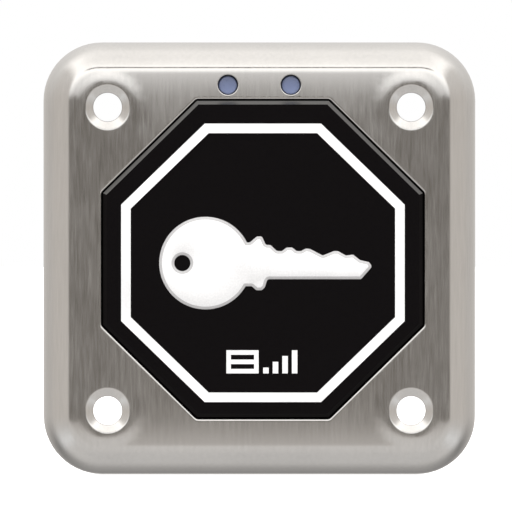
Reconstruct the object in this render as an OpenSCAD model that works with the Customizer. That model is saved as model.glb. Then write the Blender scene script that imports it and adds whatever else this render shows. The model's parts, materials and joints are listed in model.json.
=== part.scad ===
// Vandal-resistant proximity reader for a wall: a pressed steel plate with an
// octagonal reader module clamped behind it. Millimetres.
//
// Every sub-part is drawn lying on its back: x to the right, y up the wall and
// z out of the wall, with z = 0 on the wall. on_wall() then stands it up, so
// that +Z is up and the front faces -Y.

/* [Plate] */
// Width and height of the plate at the wall
plate_w = 86; // [84:0.5:90]
// Width and height of the flat front face, crease to crease
face_w = 75.6; // [74:0.2:78]
// Height of the front face above the wall
plate_depth = 16; // [15.5:0.25:18]
// Thickness of the steel
sheet = 2; // [1.8:0.1:2]
// Corner radius of the plate at the wall
corner_r = 11.6; // [9:0.2:12]
// Angle that the shoulder makes with the face at the crease
crease_angle = 28; // [20:1:35]

/* [Wall fixings] */
// Distance between the fixing holes, across and up
fixing_pitch = 60.3; // [59:0.1:61]
// Diameter of each fixing hole
fixing_d = 5.7; // [4:0.1:6]
// Diameter of each countersink at the front face
countersink_d = 8.5; // [8:0.1:9.4]

/* [Octagonal insert] */
// Width of the insert across its upright sides
insert_w = 63.5; // [63:0.1:65]
// Height of the insert across its level sides
insert_h = 62.8; // [62.6:0.1:64]
// How far the insert sits to the right of the plate's centre
insert_shift = 0.7; // [0:0.1:0.8]
// How far the insert stands out of the front face
insert_proud = 1; // [0.6:0.1:1.2]
// Width of the chamfer round the insert's face
insert_chamfer = 0.7; // [0.4:0.1:1]
// Gap between the insert and the steel
insert_gap = 0.3; // [0.1:0.05:0.3]
// Width of the white octagonal ring
ring_w = 56.3; // [54:0.1:57]
// Height of the white octagonal ring
ring_h = 55.3; // [54:0.1:57]
// Breadth of the ring's white band
ring_band = 1.9; // [1:0.1:2.5]
// How far the ring's centre lies below the insert's
ring_drop = 0.75; // [0:0.05:1]

/* [Indicator lights] */
// Distance between the two lights
light_pitch = 12.5; // [10:0.1:13]
// Height of the lights above the plate's centre
light_y = 34.6; // [34.4:0.1:34.8]
// Diameter of each light's hole in the steel
light_d = 4; // [3.6:0.1:4]

/* [Terminals and tamper switch] */
// Number of wire terminals
ways = 8; // [4:1:8]
// Distance between neighbouring terminals
way_pitch = 3.5; // [3.5:0.1:3.5]
// Travel of the tamper plunger
tamper_travel = 2.2; // [1.6:0.1:2.2]

/* [Hidden] */
$fn = 64;
cut = 1;    // how far a cutting solid runs past what it cuts
slip = 0.05; // clearance between neat-fitting pieces

// Plate section: a circular shoulder from the crease down to an upright wall.
corner_at = plate_w / 2 - corner_r;
shoulder_r = (plate_w - face_w) / 2 / (1 - sin(crease_angle));
shoulder_u = corner_r - shoulder_r;
shoulder_z = plate_depth - shoulder_r * cos(crease_angle);
steel_back = plate_depth - sheet;

// Levels above the wall, from the front to the back.
insert_top = plate_depth + insert_proud;
insert_skin = 2.2;
inlay_depth = 0.6;
inlay_proud = 0.15;
key_proud = 0.3;
gasket_t = 0.6;
flange_top = steel_back - gasket_t;
flange_t = 1.8;
flange_back = flange_top - flange_t;
cavity_top = insert_top - insert_skin;
board_top = flange_back - 0.4;
board_t = 1.6;
board_back = board_top - board_t;
cover_top = 2;
cover_t = 1.4;
cover_back = cover_top - cover_t;

// Outlines of the reader module behind the steel.
module_af = 62.4;
module_wall = 1.8;
cavity_af = module_af - 2 * module_wall;
flange_af = 70.6;
light_bay_w = 24;
light_bay_y = 37;
light_bay_wall = 1;

// Clamp studs, welded to the back of the steel beside the slanted sides.
stud_at = 35.8;
stud_angles = [45, 135, 225, 315];
stud_r = 1.5;
stud_len = 7.4;
ear_w = 13;
ear_out = 38.8;
washer_t = 0.6;
nut_af = 5.5;
nut_t = 2.4;

// Screw bosses stand in the corners of the octagonal cavity.
board_boss_at = 28.4;
board_boss_angles = [67.5, 112.5, 247.5, 292.5];
board_boss_r = 2.2;
board_screw_r = 0.9;
cover_boss_at = 28.6;
cover_boss_angles = [22.5, 157.5, 202.5, 337.5];
cover_boss_r = 2.3;
cover_screw_r = 1;
cover_head_r = 2.2;
cover_head_t = 1.1;

// Light pipes.
pipe_r = light_d / 2 - slip;
pipe_recess = 0.8;
pipe_shoulder_r = 2.6;
pipe_shoulder_t = 0.6;
pipe_seat = flange_back + 1.3;
led_size = [3, 2, 1];

// Antenna coil on its bobbin.
bobbin_in_r = 20.5;
bobbin_out_r = 25.5;
bobbin_t = 2.4;
bobbin_wall = 0.5;
bobbin_hub = 1.2;
bobbin_top = cavity_top;
lead_r = 0.2;

// Terminal block on the back of the board.
block_size = [ways * way_pitch + 0.6, 7.6, 8.5];
block_y = -14;
entry_w = 2.7;
entry_depth = 5;
entry_z = board_back - 3.2;
screw_well_r = 1.4;
pin_y = 2.6;
pin_r = 0.45;
pin_in = 1.6;
wiring_w = 26;
wiring_bottom = -26.5;

// Tamper switch on the back of the board.
tamper_at = [-14, 9];
switch_w = 7;
switch_t = 4.4;
well_r = 2.7;
well_floor = board_back - 0.6;
plunger_r = 1.5;
plunger_tip = -1.6;
plunger_end = board_back - 3.2;
guide_top = cover_top + 2.2;
guide_r = 3;
guide_clear = 0.07;
collar_r = 2.4;
collar_back = guide_top + slip;
collar_t = 0.8;

// Its spring, whose turns must still be apart when the plunger is all the way in.
spring_r = 2;
spring_wire_r = 0.14;
spring_turns = 3;
spring_sides = 6;
spring_steps = 14; // rings in each turn

// Sounder on the back of the board.
sounder_at = [14, 8];
sounder_r = 6;
sounder_t = 5.2;

// Key symbol: a round bow and a toothed blade with a collar.
key_bow_at = [-10.7, -0.8];
key_bow_r = 9.2;
key_eye_at = [-15.3, -0.8];
key_eye_r = 1.6;
key_border_w = 0.55;
key_blade = [
    [-6, 3.3], [-1.9, 3.3], [-0.5, 4.5], [0.5, 4.5], [1.3, 2.8], [2.2, 2.8],
    [3.5, 1.6], [4.5, 1.6], [5.4, 2.3], [6.5, 2.3], [7.4, 1.6], [8.3, 1.6],
    [9.2, 2.1], [10.1, 2], [12.6, 0.7], [14.8, 1.6], [15.6, 1.6], [17.2, 0.7],
    [18.6, 0.9], [20, -0.2], [21.8, -0.6], [22.4, -1.5], [20.2, -4], [1.6, -4],
    [1.1, -5.6], [0.5, -6.2], [-0.6, -6.2], [-1.5, -5.4], [-6, -5.4]
];

// Plain pictogram below the key: a card, and bars that grow beside it.
mark_at = [0.5, -20.4];
mark_card = [6.4, 4.6];
mark_line = 0.9;
mark_bars = 4;
mark_bar_w = 1.1;
mark_bar_pitch = 1.9;

// ---------------------------------------------------------------- helpers

// Stands a sub-part up on the wall.
module on_wall() {
    rotate([90, 0, 0]) children();
}

// A sub-part's slab between two levels, from a flat outline.
module slab(from, to) {
    translate([0, 0, from]) linear_extrude(height = to - from) children();
}

// An octagon w wide and h high, with all its sides about equal.
module octagon(w, h) {
    flat = tan(22.5) * (w + h) / 4;
    polygon([
        [-flat, h / 2], [flat, h / 2], [w / 2, flat], [w / 2, -flat],
        [flat, -h / 2], [-flat, -h / 2], [-w / 2, -flat], [-w / 2, flat]
    ]);
}

// Puts a copy at each corner of the wall fixings' square.
module at_fixings() {
    for (x = [-1, 1], y = [-1, 1])
        translate([x * fixing_pitch / 2, y * fixing_pitch / 2, 0]) children();
}

module at_lights() {
    for (side = [-1, 1]) translate([side * light_pitch / 2, light_y, 0]) children();
}

module at_studs() {
    for (a = stud_angles) translate([insert_shift, 0, 0]) rotate(a)
        translate([stud_at, 0, 0]) children();
}

module at_bosses(angles, radius) {
    for (a = angles)
        translate([insert_shift + radius * cos(a), radius * sin(a), 0]) children();
}

module at_ways() {
    for (i = [0 : ways - 1])
        translate([insert_shift + (i - (ways - 1) / 2) * way_pitch, block_y, 0]) children();
}

// Screw bosses, each carried by a web to the corner of the octagon behind it.
module bosses(angles, radius, boss_r, from) {
    h = cavity_top - from + cut;
    for (a = angles) translate([insert_shift, 0, from]) rotate(a) translate([radius, 0, 0]) {
        cylinder(r = boss_r, h = h);
        translate([0, -boss_r, 0]) cube([5, 2 * boss_r, h]);
    }
}

// Room for the cover's bosses in a plate that fills the octagon.
module boss_notches(from, to) {
    gap = cover_boss_r + 0.4;
    for (a = cover_boss_angles) translate([insert_shift, 0, from]) rotate(a)
        translate([cover_boss_at - gap, -gap, 0]) cube([10, 2 * gap, to - from]);
}

// Point at some distance and angle from the insert's centre.
function around(radius, angle) = [insert_shift + radius * cos(angle), radius * sin(angle)];

// The octagon's corner at an angle.
function corner(af, angle) = around(af / 2 / cos(22.5), angle);

// The bay that rises from the octagon's top side to hold the lights.
function bay(af, inset) = let (x = light_bay_w / 2 - inset) [
    [x, af / 2], [x, light_bay_y - inset], [-x, light_bay_y - inset], [-x, af / 2]
];

// An ear on a slanted side, from the octagon out to the stud and past it.
function ear(angle) = [
    for (p = [[flange_af / 2, -1], [ear_out, -1], [ear_out, 1], [flange_af / 2, 1]])
        around(norm([p[0], ear_w / 2]), angle + p[1] * atan2(ear_w / 2, p[0]))
];

// The module's outline: its octagon with the bay for the lights.
module module_outline(af, inset) {
    polygon(concat(
        [corner(af, 67.5)], bay(af, inset),
        [for (a = [112.5 : 45 : 382.5]) corner(af, a)]
    ));
}

// The clamped outline shared by the gasket and the moulding's flange.
module flange_outline() {
    af = flange_af;
    polygon(concat(
        [corner(af, 22.5)], ear(45), [corner(af, 67.5)], bay(af, 0),
        [corner(af, 112.5)], ear(135), [corner(af, 157.5), corner(af, 202.5)],
        ear(225), [corner(af, 247.5), corner(af, 292.5)], ear(315),
        [corner(af, 337.5)]
    ));
}

// --------------------------------------------------------- plate and clamps

// Half of the tray's section, from a corner's axis outwards, inset by some depth.
module tray_section(inset, below) {
    intersection() {
        union() {
            translate([shoulder_u, shoulder_z]) circle(r = shoulder_r - inset, $fn = 96);
            translate([0, -below]) square([corner_r - inset, shoulder_z + below]);
        }
        translate([0, -below]) square([corner_r, plate_depth - inset + below]);
    }
}

// The tray's whole body, as a centre, four sides and four corners face to face.
module tray_body(inset, below) {
    translate([-corner_at, -corner_at, -below])
        cube([2 * corner_at, 2 * corner_at, plate_depth - inset + below]);
    for (turn = [0 : 90 : 270]) rotate(turn) {
        translate([corner_at, 0, 0]) rotate([90, 0, 0])
            linear_extrude(height = 2 * corner_at, center = true) tray_section(inset, below);
        translate([corner_at, corner_at, 0])
            rotate_extrude(angle = 90) tray_section(inset, below);
    }
}

module bezel() {
    sink = (countersink_d - fixing_d) / 2;
    color("silver") difference() {
        tray_body(0, 0);
        tray_body(sheet, cut);
        translate([insert_shift, 0, 0]) slab(steel_back - cut, plate_depth + cut)
            octagon(insert_w + 2 * insert_gap, insert_h + 2 * insert_gap);
        at_fixings() {
            translate([0, 0, steel_back - cut]) cylinder(d = fixing_d, h = sheet + 2 * cut);
            translate([0, 0, plate_depth - sink])
                cylinder(d1 = fixing_d, d2 = countersink_d, h = sink);
        }
        at_lights() translate([0, 0, steel_back - cut])
            cylinder(d = light_d, h = sheet + 2 * cut);
    }
}

module weld_studs() {
    color("silver") at_studs() translate([0, 0, steel_back - stud_len])
        cylinder(r = stud_r, h = stud_len);
}

module stud_washers() {
    color("gainsboro") at_studs() translate([0, 0, flange_back - washer_t])
        difference() {
            cylinder(r = 2 * stud_r + 0.2, h = washer_t);
            translate([0, 0, -cut]) cylinder(r = stud_r + 0.1, h = washer_t + 2 * cut);
        }
}

module stud_nuts() {
    color("gainsboro") at_studs() translate([0, 0, flange_back - washer_t - nut_t])
        difference() {
            rotate(30) cylinder(d = nut_af / cos(30), h = nut_t, $fn = 6);
            translate([0, 0, -cut]) cylinder(r = stud_r + slip, h = nut_t + 2 * cut);
        }
}

module bezel_gasket() {
    color("dimgray") difference() {
        slab(flange_top, steel_back) difference() {
            flange_outline();
            translate([insert_shift, 0]) octagon(insert_w + 2 * insert_gap, insert_h + 2 * insert_gap);
        }
        at_studs() translate([0, 0, flange_top - cut])
            cylinder(r = stud_r + 0.2, h = gasket_t + 2 * cut);
        at_lights() translate([0, 0, flange_top - cut])
            cylinder(d = light_d, h = gasket_t + 2 * cut);
    }
}

// ------------------------------------------------------------ reader module

// The octagonal block that fills the opening, with a chamfer round its face.
module insert_block() {
    translate([insert_shift, 0, 0]) {
        slab(flange_back, plate_depth) octagon(insert_w, insert_h);
        hull() {
            slab(plate_depth - 0.5, plate_depth) octagon(insert_w, insert_h);
            slab(plate_depth, insert_top)
                octagon(insert_w - 2 * insert_chamfer, insert_h - 2 * insert_chamfer);
        }
    }
}

module ring_outline() {
    translate([insert_shift, -ring_drop]) difference() {
        octagon(ring_w, ring_h);
        octagon(ring_w - 2 * ring_band, ring_h - 2 * ring_band);
    }
}

// A closed outline drawn inwards by some distance; it runs clockwise.
function drawn_in(path, by) = [
    for (i = [0 : len(path) - 1])
        let (
            here = path[i],
            last = path[(i + len(path) - 1) % len(path)],
            next = path[(i + 1) % len(path)],
            u = (here - last) / norm(here - last),
            v = (next - here) / norm(next - here)
        )
        here + by / (1 + u * v) * [u[1] + v[1], -u[0] - v[0]]
];

// The key between two levels, with its outline drawn in by some distance.
module key_solid(inset, from, to) {
    difference() {
        union() {
            slab(from, to) translate(key_bow_at) circle(r = key_bow_r - inset);
            slab(from, to) polygon(drawn_in(key_blade, inset));
        }
        slab(from - cut, to + cut) translate(key_eye_at) circle(r = key_eye_r + inset);
    }
}

// A card with a stripe, and bars that grow beside it.
module mark_outline() {
    inner = [mark_card[0] - 2 * mark_line, (mark_card[1] - 3 * mark_line) / 2];
    bars_w = (mark_bars - 1) * mark_bar_pitch + mark_bar_w;
    translate([mark_at[0] - (mark_card[0] + mark_line + bars_w) / 2, mark_at[1] - mark_card[1] / 2]) {
        difference() {
            square(mark_card);
            for (i = [0, 1])
                translate([mark_line, mark_line + i * (inner[1] + mark_line)]) square(inner);
        }
        for (i = [0 : mark_bars - 1])
            translate([mark_card[0] + mark_line + i * mark_bar_pitch, 0])
                square([mark_bar_w, mark_card[1] * (i + 1) / mark_bars]);
    }
}

module reader_front() {
    color("#151315") difference() {
        union() {
            insert_block();
            slab(flange_back, flange_top) flange_outline();
            slab(cover_top, flange_top) module_outline(module_af, 0);
        }
        difference() {
            union() {
                translate([insert_shift, 0, 0]) slab(cover_top - cut, cavity_top)
                    octagon(cavity_af, cavity_af);
                slab(cover_top - cut, flange_back) module_outline(cavity_af, light_bay_wall);
            }
            bosses(board_boss_angles, board_boss_at, board_boss_r, board_top);
            bosses(cover_boss_angles, cover_boss_at, cover_boss_r, cover_top);
        }
        at_bosses(board_boss_angles, board_boss_at) translate([0, 0, board_top - cut])
            cylinder(r = board_screw_r + slip, h = 3 + cut);
        at_bosses(cover_boss_angles, cover_boss_at) translate([0, 0, cover_top - cut])
            cylinder(r = cover_screw_r + slip, h = 8 + cut);
        at_studs() translate([0, 0, flange_back - cut])
            cylinder(r = stud_r + 0.2, h = flange_t + 2 * cut);
        at_lights() {
            translate([0, 0, flange_back - cut]) cylinder(d = light_d, h = flange_t + 2 * cut);
            translate([0, 0, flange_back - cut])
                cylinder(r = pipe_shoulder_r + 0.15, h = pipe_seat - flange_back + cut);
        }
        slab(insert_top - inlay_depth, insert_top + cut) {
            ring_outline();
            mark_outline();
        }
        key_solid(0, insert_top - inlay_depth, insert_top + cut);
        slab(cover_top - cut, cover_top + 0.5) seal_outline();
    }
}

module ring_inlay() {
    color("white") slab(insert_top - inlay_depth, insert_top + inlay_proud) ring_outline();
}

// The key's grey edge, a little lower than its white middle.
module key_border() {
    from = insert_top - inlay_depth;
    color("darkgray") difference() {
        key_solid(0, from, insert_top + inlay_proud);
        key_solid(key_border_w, from - cut, insert_top + cut);
    }
}

module key_inlay() {
    color("white") key_solid(key_border_w, insert_top - inlay_depth, insert_top + key_proud);
}

module card_mark_inlay() {
    color("white") slab(insert_top - inlay_depth, insert_top + inlay_proud) mark_outline();
}

module light_pipe(side) {
    color("#7f8bb0") translate([side * light_pitch / 2, light_y, 0]) {
        translate([0, 0, pipe_seat])
            cylinder(r = pipe_r, h = plate_depth - pipe_recess - pipe_seat);
        translate([0, 0, pipe_seat - pipe_shoulder_t])
            cylinder(r = pipe_shoulder_r, h = pipe_shoulder_t);
    }
}

// A surface-mounted light-emitting diode behind each light pipe.
module led(side) {
    color("ivory") translate([side * light_pitch / 2, light_y, board_top])
        translate([-led_size[0] / 2, -led_size[1] / 2, 0]) cube(led_size);
}

// ------------------------------------------------------------- antenna coil

module coil_bobbin() {
    color("ivory") translate([insert_shift, 0, bobbin_top - bobbin_t]) difference() {
        cylinder(r = bobbin_out_r, h = bobbin_t);
        translate([0, 0, -cut]) cylinder(r = bobbin_in_r, h = bobbin_t + 2 * cut);
        translate([0, 0, bobbin_wall]) difference() {
            cylinder(r = bobbin_out_r + cut, h = bobbin_t - 2 * bobbin_wall);
            cylinder(r = bobbin_in_r + bobbin_hub, h = bobbin_t - 2 * bobbin_wall);
        }
    }
}

module antenna_coil() {
    winding = bobbin_t - 2 * bobbin_wall;
    color("#b5651d") translate([insert_shift, 0, bobbin_top - bobbin_t + bobbin_wall])
        difference() {
            cylinder(r = bobbin_out_r - 0.6, h = winding);
            translate([0, 0, -cut]) cylinder(r = bobbin_in_r + bobbin_hub + slip, h = winding + 2 * cut);
        }
}

// The winding's two ends, which drop to the board.
module coil_leads() {
    gap = bobbin_top - bobbin_t - board_top;
    color("#b5651d") for (side = [-1, 1])
        translate([insert_shift + 1.5 * side, -22.5, board_top]) cylinder(r = lead_r, h = gap);
}

// ------------------------------------------------------------ circuit board

module circuit_board() {
    color("#1f5a34") difference() {
        slab(board_back, board_top) module_outline(cavity_af - 0.6, light_bay_wall + 0.3);
        boss_notches(board_back - cut, board_top + cut);
        at_ways() translate([0, pin_y, board_back - cut])
            cylinder(r = pin_r + slip, h = board_t + 2 * cut);
        at_bosses(board_boss_angles, board_boss_at) translate([0, 0, board_back - cut])
            cylinder(r = board_screw_r + 0.2, h = board_t + 2 * cut);
    }
}

// A pan head with a cross recess, and its plain shank.
module board_screws() {
    head_r = 1.9;
    head_t = 1.3;
    color("silver") at_bosses(board_boss_angles, board_boss_at) {
        difference() {
            translate([0, 0, board_back - head_t]) cylinder(r = head_r, h = head_t);
            for (turn = [0, 90]) rotate(turn)
                translate([-1.1, -0.2, board_back - head_t - cut]) cube([2.2, 0.4, cut + 0.7]);
        }
        translate([0, 0, board_back]) cylinder(r = board_screw_r, h = 4.4);
    }
}

// A component's body of some size, standing on the back of the board.
module on_back(at, size) {
    translate([at[0] - size[0] / 2, at[1] - size[1] / 2, board_back - size[2]]) cube(size);
}

controller_at = [0.7, 7];
controller_size = [9, 9, 1.4];
reader_chip_at = [0.7, -4];
reader_chip_size = [8.7, 3.9, 1.5];

module controller_chip() {
    color("#222222") difference() {
        on_back(controller_at, controller_size);
        translate([controller_at[0] - 3.4, controller_at[1] + 3.4, board_back - controller_size[2] - cut])
            cylinder(r = 0.5, h = cut + 0.1);
    }
}

module reader_chip() {
    color("#222222") difference() {
        on_back(reader_chip_at, reader_chip_size);
        translate([reader_chip_at[0] - 3.4, reader_chip_at[1] - 1.1, board_back - reader_chip_size[2] - cut])
            cylinder(r = 0.4, h = cut + 0.1);
    }
}

// A row of gull-wing leads, simplified to flat feet against the chip's side.
module lead_row(count, pitch, reach) {
    for (i = [0 : count - 1])
        translate([(i - (count - 1) / 2) * pitch - 0.15, 0, board_back - 0.6])
            cube([0.3, reach, 0.6]);
}

module chip_leads() {
    color("silver") {
        translate([controller_at[0], controller_at[1], 0]) for (turn = [0 : 90 : 270]) rotate(turn)
            translate([0, controller_size[1] / 2, 0]) lead_row(9, 0.8, 1);
        translate([reader_chip_at[0], reader_chip_at[1], 0]) for (turn = [0, 180]) rotate(turn)
            translate([0, reader_chip_size[1] / 2, 0]) lead_row(7, 1.2, 1);
    }
}

module voltage_regulator() {
    color("#222222") on_back([17, -4.5], [6.5, 3.5, 1.6]);
}

module crystal() {
    color("silver") on_back([-8.8, -0.5], [3.2, 7, 1.4]);
}

module chip_capacitors() {
    color("tan") for (at = [[-7, 15], [-3, 15], [5, 15], [9, 15], [-6.5, -6], [8.5, -1]])
        on_back(at, [2, 1.25, 0.9]);
}

module chip_resistors() {
    color("#1a1a1a") for (at = [[-7, 19], [-3, 19], [1, 19], [5, 19], [9, 19], [19, 0]])
        on_back(at, [2, 1.25, 0.5]);
}

module reservoir_capacitors() {
    color("silver") for (x = [-21.5, -14.5]) translate([x, -5, board_back - 5.4])
        cylinder(r = 3.1, h = 5.4);
}

module surge_diodes() {
    color("#222222") for (x = [-5.5, 6.9]) on_back([x, 26], [4.3, 3.6, 2.3]);
}

// The sounder's round case, with a small hole in its crown.
module sounder() {
    color("#1c1c1c") translate([sounder_at[0], sounder_at[1], board_back - sounder_t]) difference() {
        cylinder(r = sounder_r, h = sounder_t);
        translate([0, 0, -cut]) cylinder(r = 0.9, h = cut + 1);
    }
}

// ----------------------------------------------------------- terminal block

module terminal_block() {
    color("#2f6b45") difference() {
        on_back([insert_shift, block_y], block_size);
        at_ways() {
            translate([-entry_w / 2, -block_size[1] / 2 - cut, entry_z - entry_w / 2])
                cube([entry_w, entry_depth + cut, entry_w]);
            translate([0, -0.2, board_back - block_size[2] - cut])
                cylinder(r = screw_well_r, h = block_size[2] - (board_back - entry_z) + cut);
            translate([0, pin_y, board_back - pin_in]) cylinder(r = pin_r, h = pin_in + cut);
        }
    }
}

// A slotted clamp screw in each well.
module terminal_screws() {
    top = board_back - block_size[2] + 0.7;
    color("gainsboro") at_ways() translate([0, -0.2, 0]) difference() {
        translate([0, 0, top]) cylinder(r = screw_well_r - 0.1, h = entry_z - entry_w / 2 - top);
        translate([-screw_well_r, -0.2, top - cut]) cube([2 * screw_well_r, 0.4, cut + 0.6]);
    }
}

// A rising cage in each entry, which lifts a wire against the block.
module terminal_clamps() {
    wide = entry_w - 2 * slip;
    hole = entry_w - 1;
    color("gainsboro") at_ways() translate([0, -0.2, entry_z]) difference() {
        cube([wide, 2.6, wide], center = true);
        cube([hole, 3.6, hole], center = true);
    }
}

// Solder pins, from the block through the board.
module terminal_pins() {
    color("silver") at_ways() translate([0, pin_y, board_back - pin_in])
        cylinder(r = pin_r, h = pin_in + board_t + 0.7);
}

// ------------------------------------------------------------ tamper switch

module at_tamper() {
    translate([tamper_at[0], tamper_at[1], 0]) children();
}

module tamper_switch() {
    color("#303034") difference() {
        on_back(tamper_at, [switch_w, switch_w, switch_t]);
        at_tamper() translate([0, 0, board_back - switch_t - cut])
            cylinder(r = well_r, h = well_floor - board_back + switch_t + cut);
    }
}

module tamper_contact() {
    color("gold") at_tamper() translate([0, 0, well_floor - 0.3]) cylinder(r = 0.8, h = 0.3);
}

// A pin with a domed tip that the wall presses, and a collar that the spring bears on.
module tamper_plunger() {
    dome = 0.5;
    color("#d8d8d4") at_tamper() {
        translate([0, 0, plunger_tip + dome])
            cylinder(r = plunger_r, h = plunger_end - plunger_tip - dome);
        translate([0, 0, plunger_tip]) cylinder(r1 = plunger_r - dome, r2 = plunger_r, h = dome);
        translate([0, 0, collar_back]) cylinder(r = collar_r, h = collar_t);
    }
}

// The spring is one tube swept along a helix, with flat ends.
spring_foot = well_floor - spring_wire_r - slip;
spring_head = collar_back + collar_t + spring_wire_r + slip;
spring_rings = spring_turns * spring_steps;

function on_helix(i) = [
    spring_r * cos(360 * i / spring_steps),
    spring_r * sin(360 * i / spring_steps),
    spring_head + (spring_foot - spring_head) * i / spring_rings
];

// Ring i of the tube: its points lie in the plane through the spring's axis.
function wire_ring(i) = [
    for (k = [0 : spring_sides - 1])
        let (around = 360 * k / spring_sides, turn = 360 * i / spring_steps)
        on_helix(i) + spring_wire_r * [
            cos(around) * cos(turn), cos(around) * sin(turn), sin(around)
        ]
];

module tamper_spring() {
    n = spring_sides;
    points = [for (i = [0 : spring_rings]) each wire_ring(i)];
    sides = [
        for (i = [0 : spring_rings - 1], k = [0 : n - 1])
            [i * n + k, (i + 1) * n + k, (i + 1) * n + (k + 1) % n, i * n + (k + 1) % n]
    ];
    ends = [[for (k = [0 : n - 1]) k], [for (k = [n - 1 : -1 : 0]) spring_rings * n + k]];
    color("silver") at_tamper() polyhedron(points = points, faces = concat(sides, ends));
}

// --------------------------------------------------------------- rear cover

// The seal's loop, which runs in a groove round the moulding's back edge.
module seal_outline() {
    difference() {
        module_outline(module_af - 1.4, 0.25);
        module_outline(module_af - 2.8, 0.75);
    }
}

module cover_seal() {
    color("dimgray") slab(cover_top, cover_top + 0.5) seal_outline();
}

module rear_cover() {
    color("#1a181a") difference() {
        union() {
            slab(cover_back, cover_top) module_outline(module_af, 0);
            slab(cover_top, cover_top + 1.2) difference() {
                module_outline(cavity_af - 0.4, light_bay_wall + 0.2);
                module_outline(cavity_af - 3, light_bay_wall + 1.6);
            }
            at_tamper() translate([0, 0, cover_back]) cylinder(r = guide_r, h = guide_top - cover_back);
        }
        boss_notches(cover_top, cover_top + 1.2 + cut);
        at_bosses(cover_boss_angles, cover_boss_at) {
            translate([0, 0, cover_back - cut]) cylinder(r = cover_screw_r + 0.15, h = cover_t + 2 * cut);
            translate([0, 0, cover_back - slip])
                cylinder(r1 = cover_head_r + 2 * slip, r2 = cover_screw_r + slip, h = cover_head_t + slip);
        }
        at_tamper() translate([0, 0, cover_back - cut])
            cylinder(r = plunger_r + guide_clear, h = guide_top - cover_back + 2 * cut);
        translate([insert_shift, block_y, cover_back]) cube(
            [block_size[0] + 1, block_size[1] + 1, 2 * (cover_t + cut)], center = true);
        translate([insert_shift - wiring_w / 2, wiring_bottom, cover_back - cut])
            cube([wiring_w, block_y - wiring_bottom, cover_t + 2 * cut]);
    }
}

// Countersunk screws, flush with the back of the cover.
module cover_screws() {
    color("silver") at_bosses(cover_boss_angles, cover_boss_at) {
        difference() {
            translate([0, 0, cover_back])
                cylinder(r1 = cover_head_r, r2 = cover_screw_r, h = cover_head_t);
            for (turn = [0, 90]) rotate(turn)
                translate([-1.2, -0.2, cover_back - cut]) cube([2.4, 0.4, cut + 0.6]);
        }
        translate([0, 0, cover_back + cover_head_t]) cylinder(r = cover_screw_r, h = 7.4);
    }
}

module rating_label() {
    color("gainsboro") slab(cover_back - 0.1, cover_back) translate([2, 9]) square([20, 12]);
}

// ----------------------------------------------------------------- the nodes

on_wall() bezel();
on_wall() weld_studs();
on_wall() stud_washers();
on_wall() stud_nuts();
on_wall() bezel_gasket();
on_wall() reader_front();
on_wall() ring_inlay();
on_wall() key_border();
on_wall() key_inlay();
on_wall() card_mark_inlay();
on_wall() light_pipe(-1);  // light_pipe_left
on_wall() light_pipe(1);  // light_pipe_right
on_wall() led(-1);  // led_left
on_wall() led(1);  // led_right
on_wall() coil_bobbin();
on_wall() antenna_coil();
on_wall() coil_leads();
on_wall() circuit_board();
on_wall() board_screws();
on_wall() controller_chip();
on_wall() reader_chip();
on_wall() chip_leads();
on_wall() voltage_regulator();
on_wall() crystal();
on_wall() chip_capacitors();
on_wall() chip_resistors();
on_wall() reservoir_capacitors();
on_wall() surge_diodes();
on_wall() sounder();
on_wall() terminal_block();
on_wall() terminal_screws();
on_wall() terminal_clamps();
on_wall() terminal_pins();
on_wall() tamper_switch();
on_wall() tamper_contact();
on_wall() tamper_plunger();
on_wall() tamper_spring();
on_wall() rear_cover();
on_wall() cover_seal();
on_wall() cover_screws();
on_wall() rating_label();
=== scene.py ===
import json
import math

import bmesh
import bpy
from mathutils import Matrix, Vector, geometry

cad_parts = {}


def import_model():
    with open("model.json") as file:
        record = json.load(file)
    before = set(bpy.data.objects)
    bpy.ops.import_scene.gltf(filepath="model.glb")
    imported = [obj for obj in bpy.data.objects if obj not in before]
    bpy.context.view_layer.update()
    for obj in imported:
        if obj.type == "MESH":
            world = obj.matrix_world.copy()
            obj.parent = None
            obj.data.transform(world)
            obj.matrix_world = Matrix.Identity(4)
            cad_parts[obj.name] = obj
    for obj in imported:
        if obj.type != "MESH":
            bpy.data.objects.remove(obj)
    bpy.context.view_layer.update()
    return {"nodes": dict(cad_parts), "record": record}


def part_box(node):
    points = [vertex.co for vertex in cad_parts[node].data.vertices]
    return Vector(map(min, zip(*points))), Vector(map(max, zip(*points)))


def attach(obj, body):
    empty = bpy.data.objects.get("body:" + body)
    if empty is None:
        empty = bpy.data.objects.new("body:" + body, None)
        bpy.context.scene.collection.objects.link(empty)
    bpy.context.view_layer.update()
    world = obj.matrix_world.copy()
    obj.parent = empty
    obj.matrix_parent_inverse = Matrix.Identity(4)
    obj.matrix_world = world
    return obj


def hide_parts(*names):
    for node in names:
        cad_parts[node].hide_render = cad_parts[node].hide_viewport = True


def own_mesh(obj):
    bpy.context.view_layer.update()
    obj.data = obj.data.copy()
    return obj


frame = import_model()
nodes = frame["nodes"]
mounts = {m["name"]: m for m in frame["record"]["mounts"]}


# ------------------------------------------------------------------ helpers

# The object is drawn in millimetres as (x, z, height above the wall).
def place(x, z, h):
    return Vector((x, -h, z)) * 0.001


def extent(node):
    """Lowest and highest x, z and height above the wall of a CAD node, in millimetres."""
    lo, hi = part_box(node)
    return (lo.x * 1e3, lo.z * 1e3, -hi.y * 1e3), (hi.x * 1e3, hi.z * 1e3, -lo.y * 1e3)


def centre(node):
    """Middle x, z and height of a CAD node, in millimetres."""
    lo, hi = extent(node)
    return [(a + b) / 2 for a, b in zip(lo, hi)]


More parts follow.
